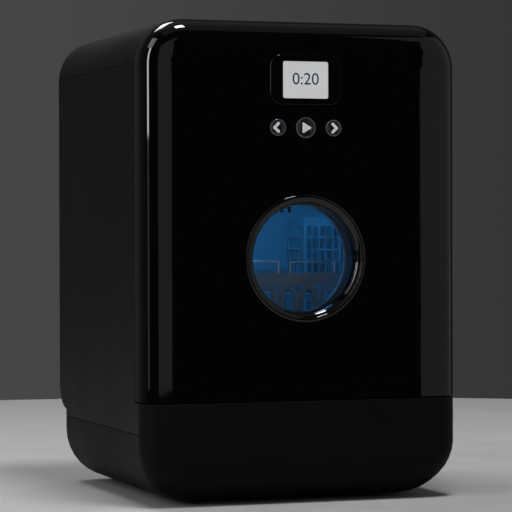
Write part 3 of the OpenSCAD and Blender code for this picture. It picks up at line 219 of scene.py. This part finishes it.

# The finish of each node, with a material slot name for that finish, and the nodes in it.
FINISHES = [
    (case_satin, "case_black",
     "left_side_panel right_side_panel top_cover rear_panel filler_neck filler_lid"),
    (base_satin, "case_black", "base_pan front_base_cover"),
    (foot_rubber, "rubber_black", "feet cord_gland"),
    (frame_dark, "frame_dark",
     "front_frame window_spacer door_lock power_board fan_housing back_plunger start_plunger next_plunger"),
    (seal_rubber, "seal_grey", "door_gasket"),
    (tub_plastic, "tub_plastic", "wash_tub door_liner water_tank tank_lid dispenser_lid"),
    (basket_plastic, "basket_plastic", "dish_basket cutlery_basket"),
    (part_grey, "part_grey",
     "sump basket_runners spray_arm_pivot wash_pump_housing drain_pump_housing water_inlet drain_outlet "
     "spray_arm filter_cup dispenser_box wash_impeller fan_rotor"),
    (steel, "steel",
     "filter_plate heater hinge_brackets hinge_pins case_screws door_strike door_screws lock_bolt"),
    (wire_steel, "wire", "basket_wires"),
    (piano_black, "gloss_black", "door_shell"),
    (bezel_black, "gloss_black", "window_bezel display_frame"),
    (pane_glass, "clear_glass", "outer_glass inner_glass"),
    (cap_clear, "clear_cap", "back_button start_button next_button"),
    (white_bush, "white_bush", "hinge_bushes"),
    (board_green, "board_green", "control_board"),
    (screen_white, "screen", "display_screen"),
    (lens_blue, "lens", "led_lens"),
    (hose_rubber, "hose_rubber", "hoses"),
    (icon_white, "screen", ""),
    (digit_ink, "frame_dark", ""),
    (rim_painted_highlight, "clear_cap", ""),
    (disc_black, "frame_dark", ""),
]
for finish, slot, names in FINISHES:
    for name in names.split():
        nodes[name].data.materials.clear()
        nodes[name].data.materials.append(finish)


# Workshop helpers

def only(piece):
    """That piece alone is selected and active."""
    bpy.ops.object.select_all(action="DESELECT")
    piece.select_set(True)
    bpy.context.view_layer.objects.active = piece


def settle(piece):
    """Puts the piece's place into its mesh."""
    only(piece)
    bpy.ops.object.transform_apply(location=True, rotation=True, scale=True)


def smooth(piece, angle=35):
    """Smooth shading across shallow edges, with the large faces kept flat."""
    only(piece)
    bpy.ops.object.shade_smooth_by_angle(angle=math.radians(angle))
    bpy.ops.object.modifier_add(type="WEIGHTED_NORMAL")
    piece.modifiers[-1].keep_sharp = True
    bpy.ops.object.modifier_apply(modifier=piece.modifiers[-1].name)


def ease(piece, width, angle=40, segments=2):
    """Rounds the hard edges."""
    only(piece)
    bpy.ops.object.modifier_add(type="BEVEL")
    edge = piece.modifiers[-1]
    edge.width = width
    edge.segments = segments
    edge.limit_method = "ANGLE"
    edge.angle_limit = math.radians(angle)
    edge.use_clamp_overlap = True
    bpy.ops.object.modifier_apply(modifier=edge.name)


def hand_over(piece, name, finish, body, *stands_for):
    """Names a finished piece, gives it its finish and body, and hides the nodes that it stands for."""
    piece.name = name
    piece.data.name = name
    piece.data.materials.clear()
    piece.data.materials.append(finish)
    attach(piece, body)
    if stands_for:
        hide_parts(*stands_for)
    return piece


def eased_copy(node, finish, body, width=0.0006, angle=40):
    """A node's mesh, merged, with its hard edges rounded."""
    piece = bpy.data.objects.new(node, nodes[node].data.copy())
    bpy.context.scene.collection.objects.link(piece)
    only(piece)
    bpy.ops.object.mode_set(mode="EDIT")
    bpy.ops.mesh.select_all(action="SELECT")
    bpy.ops.mesh.remove_doubles(threshold=0.00001)
    bpy.ops.mesh.dissolve_limited(angle_limit=math.radians(0.3))
    bpy.ops.object.mode_set(mode="OBJECT")
    ease(piece, width, angle)
    smooth(piece)
    return hand_over(piece, node + "_moulding", finish, body, node)


def turned(centre, profile, steps=128, ends=False):
    """A piece turned about a line along Y: a circle, drawn out and resized through its profile.

    A profile that comes back to its start closes by itself, and ends closes the two ends of one that doesn't.
    """
    radius, y = profile[0]
    bpy.ops.object.select_all(action="DESELECT")
    bpy.ops.mesh.primitive_circle_add(
        vertices=steps, radius=radius, location=(centre.x, y, centre.z), rotation=(math.pi / 2, 0, 0))
    piece = bpy.context.object
    settle(piece)
    bpy.ops.object.mode_set(mode="EDIT")
    bpy.ops.mesh.select_all(action="SELECT")
    for (r0, y0), (r1, y1) in zip(profile, profile[1:]):
        bpy.ops.mesh.extrude_edges_move(TRANSFORM_OT_translate={"value": (0, y1 - y0, 0)})
        bpy.ops.transform.resize(
            value=(r1 / r0, 1, r1 / r0), center_override=(centre.x, y1, centre.z))
    if ends:
        bpy.ops.mesh.edge_face_add()
        bpy.ops.mesh.select_all(action="DESELECT")
        bpy.ops.mesh.select_non_manifold()
        bpy.ops.mesh.edge_face_add()
    bpy.ops.mesh.select_all(action="SELECT")
    bpy.ops.mesh.remove_doubles(threshold=0.000005)
    bpy.ops.mesh.normals_make_consistent(inside=False)
    bpy.ops.object.mode_set(mode="OBJECT")
    return piece


# Case

for node in ("left_side_panel", "right_side_panel", "top_cover", "rear_panel"):
    eased_copy(node, case_satin, "case")
for node in ("base_pan", "front_base_cover"):
    eased_copy(node, base_satin, "case")
eased_copy("filler_lid", case_satin, "filler_lid")
eased_copy("door_shell", piano_black, "door", 0.0008)
eased_copy("display_frame", bezel_black, "door", 0.0004)

eased_copy("window_bezel", bezel_black, "door", 0.0002)

# Buttons: a clear domed cap over a black disc with its icon, inside a thin ring that glows at a set level to
# paint the cap's bright edge line, a painted highlight

CAP_DOME = 1.6 * MM
FLANGE = 1.2 * MM            # how far the flange stands out, and how thick it is
ICON_DEPTH = 3.0 * MM        # from the face to the front of the icon
ICON_THICK = 0.15 * MM
ICON_GAP = 0.2 * MM
BAR_LENGTH = 5.6 * MM
BAR_WIDTH = 2.9 * MM
CHEVRON_TIP = 3.3 * MM       # from the middle of the button
PLAY_RADIUS = 6.7 * MM
PLAY_CORNER = 1.5 * MM
DISC_GAP = 0.25 * MM
DISC_THICK = 0.4 * MM
RIM_OUTSIDE = 0.1 * MM
RIM_INSIDE = 0.75 * MM
RIM_THICK = 0.3 * MM


def flat_disc(radius, centre, y, vertices=48):
    """A filled circle that faces the front, in edit mode and selected."""
    bpy.ops.object.select_all(action="DESELECT")
    bpy.ops.mesh.primitive_circle_add(
        vertices=vertices, radius=radius, fill_type="NGON", location=(centre.x, y, centre.z),
        rotation=(math.pi / 2, 0, 0))
    piece = bpy.context.object
    settle(piece)
    bpy.ops.object.mode_set(mode="EDIT")
    bpy.ops.mesh.select_all(action="SELECT")
    return piece


def thicken(depth):
    """Draws the selected flat face back by that depth and closes it."""
    bpy.ops.mesh.extrude_region_move(TRANSFORM_OT_translate={"value": (0, depth, 0)})
    bpy.ops.mesh.select_all(action="SELECT")
    bpy.ops.mesh.normals_make_consistent(inside=False)
    bpy.ops.object.mode_set(mode="OBJECT")


def bar(centre, y, length, width, angle):
    """A round-ended bar that starts at a point and leaves it at an angle."""
    piece = flat_disc(width / 2, centre, y)
    bpy.ops.mesh.select_all(action="DESELECT")
    bpy.ops.object.mode_set(mode="OBJECT")
    for vertex in piece.data.vertices:
        vertex.select = vertex.co.x > centre.x + width * 0.001
    bpy.ops.object.mode_set(mode="EDIT")
    bpy.ops.transform.translate(value=(length, 0, 0))
    bpy.ops.mesh.select_all(action="SELECT")
    bpy.ops.transform.rotate(
        value=angle, orient_axis="Y", center_override=(centre.x, y, centre.z))
    thicken(ICON_THICK)
    return piece


def chevron(centre, y, way):
    """Two round-ended bars from one corner, open towards the other side."""
    corner = centre + Vector((-CHEVRON_TIP * way, 0, 0))
    slant = math.radians(45 if way > 0 else 135)
    upper = bar(corner, y, BAR_LENGTH, BAR_WIDTH, slant)
    lower = bar(corner, y, BAR_LENGTH, BAR_WIDTH, -slant)
    only(upper)
    bpy.ops.object.modifier_add(type="BOOLEAN")
    weld = upper.modifiers[-1]
    weld.operation = "UNION"
    weld.object = lower
    bpy.ops.object.modifier_apply(modifier=weld.name)
    bpy.data.objects.remove(lower)
    return upper


def triangle(centre, y):
    """A play sign: three corners, rounded."""
    piece = flat_disc(PLAY_RADIUS, centre, y, 3)
    bpy.ops.transform.rotate(value=-math.pi / 2, orient_axis="Y", center_override=tuple(centre))
    bpy.ops.mesh.bevel(offset=PLAY_CORNER, segments=6, affect="VERTICES")
    thicken(ICON_THICK)
    return piece


for name, way in (("back", 1), ("start", 0), ("next", -1)):
    node = name + "_button"
    body = name + "_key"
    centre = middle(node)
    low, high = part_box(node)
    flange = (high.x - low.x) / 2
    radius = flange - FLANGE
    angles = [math.radians(a) for a in range(2, 91, 4)]
    dome = [(radius * math.sin(a), button_face_y + CAP_DOME * (1 - math.cos(a))) for a in angles]
    skirt = [(radius, high.y - FLANGE), (flange, high.y - FLANGE), (flange, high.y)]
    cap = turned(centre, dome + skirt, 96, ends=True)
    smooth(cap, 50)
    hand_over(cap, name + "_cap", cap_clear, body, node)
    icon_y = button_face_y + ICON_DEPTH
    icon = chevron(centre, icon_y, way) if way else triangle(centre, icon_y)
    hand_over(icon, name + "_icon", icon_white, body)
    disc = flat_disc(radius - DISC_GAP, centre, icon_y + ICON_GAP)
    thicken(DISC_THICK)
    hand_over(disc, name + "_disc", disc_black, body)
    # A thin glowing ring under the cap's edge: a painted highlight for the cap's bright rim line
    inside, outside = radius - RIM_INSIDE, radius - RIM_OUTSIDE
    front, back = button_face_y + CAP_DOME, button_face_y + CAP_DOME + RIM_THICK
    ring = [(inside, front), (outside, front), (outside, back), (inside, back), (inside, front)]
    rim = turned(centre, ring, 96)
    smooth(rim)
    hand_over(rim, name + "_rim", rim_painted_highlight, body)

# Digits on the screen

DIGIT_SIZE = 17 * MM
DIGIT_RAISE = 0.5 * MM       # above the middle of the screen
DIGIT_GAP = 0.06 * MM
bpy.ops.object.select_all(action="DESELECT")
bpy.ops.object.text_add(
    location=(0, screen_front_y - DIGIT_GAP, middle("display_screen").z + DIGIT_RAISE),
    rotation=(math.pi / 2, 0, 0))
digits = bpy.context.object
digits.data.body = "0:20"
digits.data.align_x = "CENTER"
digits.data.align_y = "CENTER"
digits.data.size = DIGIT_SIZE
digits.data.extrude = DIGIT_GAP / 2
bpy.ops.object.convert(target="MESH")
settle(bpy.context.object)
hand_over(bpy.context.object, "screen_digits", digit_ink, "door")

# Camera

PHOTO_SIDE = 512
SENSOR = 36.0
FOCAL_PIXELS = 2414.5
bpy.ops.object.camera_add(location=mm(-851.0, -2463.0, 275.1))
camera = bpy.context.object
camera.data.sensor_width = SENSOR
camera.data.lens = FOCAL_PIXELS / PHOTO_SIDE * SENSOR
camera.rotation_euler = Euler([math.radians(turn) for turn in (90 - 0.559, 0.163, -19.157)], "XYZ")
camera.data.clip_start = 0.05
camera.data.clip_end = 50
bpy.context.scene.camera = camera

# Floor: a round pale studio table whose far edge is the line behind the machine

TABLE_RADIUS = 1.43
bpy.ops.object.select_all(action="DESELECT")
bpy.ops.mesh.primitive_circle_add(
    vertices=160, radius=TABLE_RADIUS, fill_type="NGON", location=(0, 0, 0))
floor = bpy.context.object
floor.name = "studio_floor"
floor.data.materials.append(moulded("floor_paint", (0.4, 0.4, 0.4), 0.6, 300, 0.00001, 0.02))

# Lights: name, place and aim in millimetres, width and height in metres, watts

LAMPS = [
    ("key_softbox", (130, -560, 2500), (0, 0, 250), 0.5, 0.5, 40),
    ("ceiling_panel", (300, -300, 2700), (300, -300, 0), 3.0, 3.0, 4),
    ("left_strip", (-2200, -590, 1080), (0, -150, 1080), 0.36, 1.24, 15),
    ("left_high_softbox", (-1700, -300, 1800), (0, 0, 250), 1.0, 0.7, 6),
    ("rear_softbox", (-500, 1000, 2300), (0, 170, 250), 0.9, 0.7, 24),
    ("left_card", (-2250, -600, 220), (0, -150, 220), 0.4, 0.48, 0.3),
    ("right_panel", (1771, -929, 1100), (140, -168, 1100), 3.05, 2.4, 6.4),
    ("front_card", (-530, -3300, 1000), (0, -150, 1000), 1.9, 2.2, 4),
]


def softbox(name, at, width, height, watts):
    """A rectangular lamp that points down."""
    bpy.ops.object.light_add(type="AREA", location=at)
    lamp = bpy.context.object
    lamp.name = name
    lamp.data.shape = "RECTANGLE"
    lamp.data.size = width
    lamp.data.size_y = height
    lamp.data.energy = watts
    return lamp


for name, place_mm, aim_mm, width, height, watts in LAMPS:
    at = mm(*place_mm)
    lamp = softbox(name, at, width, height, watts)
    lamp.visible_camera = False
    lamp.rotation_euler = (mm(*aim_mm) - at).to_track_quat("-Z", "Y").to_euler()

# The blue light in the tub shines down from just under its lens

lens_mid = middle("led_lens")
tub_glow = softbox("tub_glow", (lens_mid.x, lens_mid.y, lens_underside_z - 2 * MM), 0.06, 0.016, 0.19)
tub_glow.data.color = (0.03, 0.37, 0.9)

# Backdrop: an even grey that falls off to the right, and a dark room in front of the machine

world = bpy.data.worlds.new("studio")
bpy.context.scene.world = world
world.use_nodes = True
tree = world.node_tree
where = tree.nodes.new("ShaderNodeTexCoord")
parts = tree.nodes.new("ShaderNodeSeparateXYZ")
tree.links.new(where.outputs["Generated"], parts.inputs["Vector"])


def spread_world(output, low, high, low_value, high_value):
    """A soft step along one axis of the view direction."""
    node = tree.nodes.new("ShaderNodeMapRange")
    node.interpolation_type = "SMOOTHSTEP"
    node.inputs["From Min"].default_value = low
    node.inputs["From Max"].default_value = high
    node.inputs["To Min"].default_value = low_value
    node.inputs["To Max"].default_value = high_value
    tree.links.new(parts.outputs[output], node.inputs["Value"])
    return node.outputs["Result"]


BACKDROP_LEVEL = 0.066
BACKDROP_RIGHT_LEVEL = 0.034
ROOM_LEVEL = 0.02
backdrop = spread_world("X", 0.16, 0.48, BACKDROP_LEVEL, BACKDROP_RIGHT_LEVEL)
behind = spread_world("Y", -0.15, 0.15, 0, 1)
level = tree.nodes.new("ShaderNodeMix")
level.inputs["A"].default_value = ROOM_LEVEL
tree.links.new(behind, level.inputs["Factor"])
tree.links.new(backdrop, level.inputs["B"])
sky = tree.nodes["Background"]
sky.inputs["Color"].default_value = (1, 1, 1.015, 1)
tree.links.new(level.outputs["Result"], sky.inputs["Strength"])

bpy.context.scene.view_settings.view_transform = "Standard"

bpy.context.view_layer.update()
